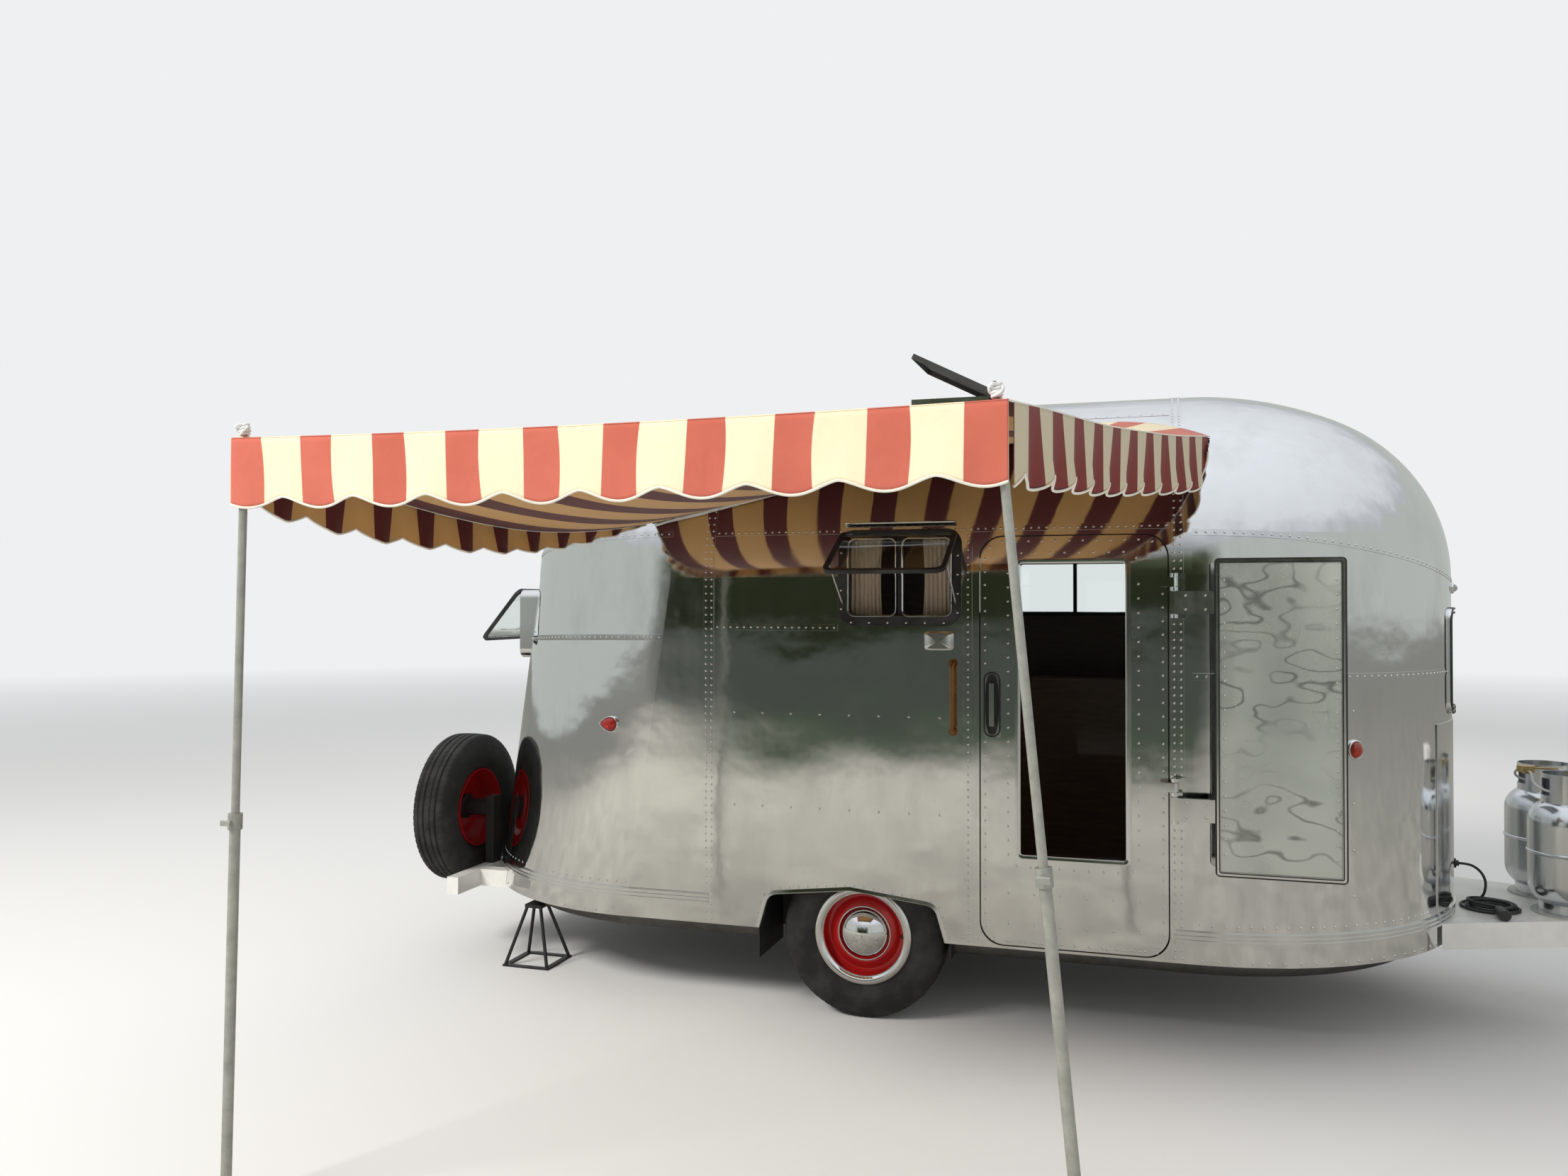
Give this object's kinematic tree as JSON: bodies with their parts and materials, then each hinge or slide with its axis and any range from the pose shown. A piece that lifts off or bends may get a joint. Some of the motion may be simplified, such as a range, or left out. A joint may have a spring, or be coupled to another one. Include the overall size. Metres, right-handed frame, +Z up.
{
  "type": "travel caravan",
  "caption": "Single-axle travel caravan with a rounded riveted aluminium body, entrance door with an outer hatch, awning on two poles, tongue with gas cylinders, jack and spare wheel.",
  "frame": {"origin": "middle of the base of the whole caravan with its awning, on the ground", "axes": "+X forward to the hitch, +Z up, the entrance side at -Y"},
  "size_m": [5.78, 4.1533, 2.9153],
  "materials": {
    "polished_skin": "mirror-polished riveted sheet",
    "bright_trim": "bright drawn section",
    "vent_lid": "weathered sheet",
    "floor_board": "dark boards",
    "black_sheet": "black",
    "tyre_rubber": "worn rubber",
    "red_wheel": "dark red enamel",
    "chrome": "chrome plate",
    "window_glass": "clear",
    "curtain_cloth": "pale cotton",
    "awning_cloth": "striped canvas, faded red and pale yellow",
    "galvanised_pole": "galvanised tube",
    "white_enamel": "white enamel",
    "jack_steel": "plated",
    "gas_cylinder_steel": "polished",
    "rack_steel": "grey",
    "valve_brass": "brass and grey",
    "grey_hose": "pale grey hose",
    "cable_rubber": "black rubber",
    "red_lens": "red lens in a bright base",
    "marker_lens": "amber and white lenses",
    "handle_brass": "aged brass"
  },
  "bodies": {
    "trailer": {"curb_side_wall": "polished_skin", "street_side_wall": "polished_skin", "roof_panel": "polished_skin", "front_lower_shell": "polished_skin", "front_dome": "polished_skin", "rear_lower_shell": "polished_skin", "rear_dome": "polished_skin", "cabin_floor": "floor_board", "belly_pan": "polished_skin", "wheel_wells": "black_sheet", "rub_rails": "bright_trim", "stone_guard": "bright_trim", "side_window_frames": "bright_trim", "end_window_frames": "bright_trim", "window_sashes": "bright_trim", "window_glass": "window_glass", "curtains": "curtain_cloth", "door_hinges": "bright_trim", "roof_vent_base": "bright_trim", "awning_rail": "bright_trim", "awning_canopy": "awning_cloth", "awning_valances": "awning_cloth", "awning_poles": "galvanised_pole", "tongue_frame": "white_enamel", "tongue_deck": "white_enamel", "coupler": "white_enamel", "jack_tube": "jack_steel", "jack_head": "white_enamel", "gas_cylinders": "gas_cylinder_steel", "gas_rack": "rack_steel", "gas_fittings": "valve_brass", "gas_hoses": "grey_hose", "cable_gland": "cable_rubber", "cable_coil": "cable_rubber", "cable_lead": "cable_rubber", "cable_plug": "cable_rubber", "axle": "black_sheet", "leaf_springs": "black_sheet", "spare_tyre": "tyre_rubber", "spare_rim": "red_wheel", "rear_bumper": "white_enamel", "spare_carrier": "black_sheet", "stabiliser_stands": "black_sheet", "red_lamps": "red_lens", "marker_lamps": "marker_lens", "grab_handle": "handle_brass", "cabin_furniture": "floor_board"},
    "wheel_curb": {"tyre_curb": "tyre_rubber", "rim_curb": "red_wheel", "wheel_trim_curb": "chrome"},
    "wheel_street": {"tyre_street": "tyre_rubber", "rim_street": "red_wheel", "wheel_trim_street": "chrome"},
    "entrance_door": {"main_door": "polished_skin", "door_latch": "bright_trim"},
    "door_hatch": {"door_hatch_frame": "bright_trim", "door_hatch_skin": "polished_skin"},
    "vent_lid": {"roof_vent_lid": "vent_lid"},
    "jack_inner": {"jack_leg": "jack_steel"}
  },
  "joints": [
    {"name": "wheel_curb_spin", "type": "hinge", "parent": "trailer", "child": "wheel_curb", "pos_m": [-0.62999, 0.08484, 0.343], "axis": [0, 1, 0], "continuous": true},
    {"name": "wheel_street_spin", "type": "hinge", "parent": "trailer", "child": "wheel_street", "pos_m": [-0.62999, 1.90384, 0.343], "axis": [0, 1, 0], "continuous": true},
    {"name": "entrance_door_swing", "type": "hinge", "parent": "trailer", "child": "entrance_door", "pos_m": [0.60501, -0.12566, 1.18], "axis": [0, 0, 1], "range_deg": [0, 110]},
    {"name": "door_hatch_swing", "type": "hinge", "parent": "trailer", "child": "door_hatch", "pos_m": [0.60501, -0.12566, 1.297], "axis": [0, 0, 1], "range_deg": [-180, 0]},
    {"name": "vent_lid_tilt", "type": "hinge", "parent": "trailer", "child": "vent_lid", "pos_m": [-0.17899, 0.99434, 2.712], "axis": [0, 1, 0], "range_deg": [-27, 33]},
    {"name": "tongue_jack_lift", "type": "slide", "parent": "trailer", "child": "jack_inner", "axis": [0, 0, 1], "range_m": [0, 0.25]}
  ]
}
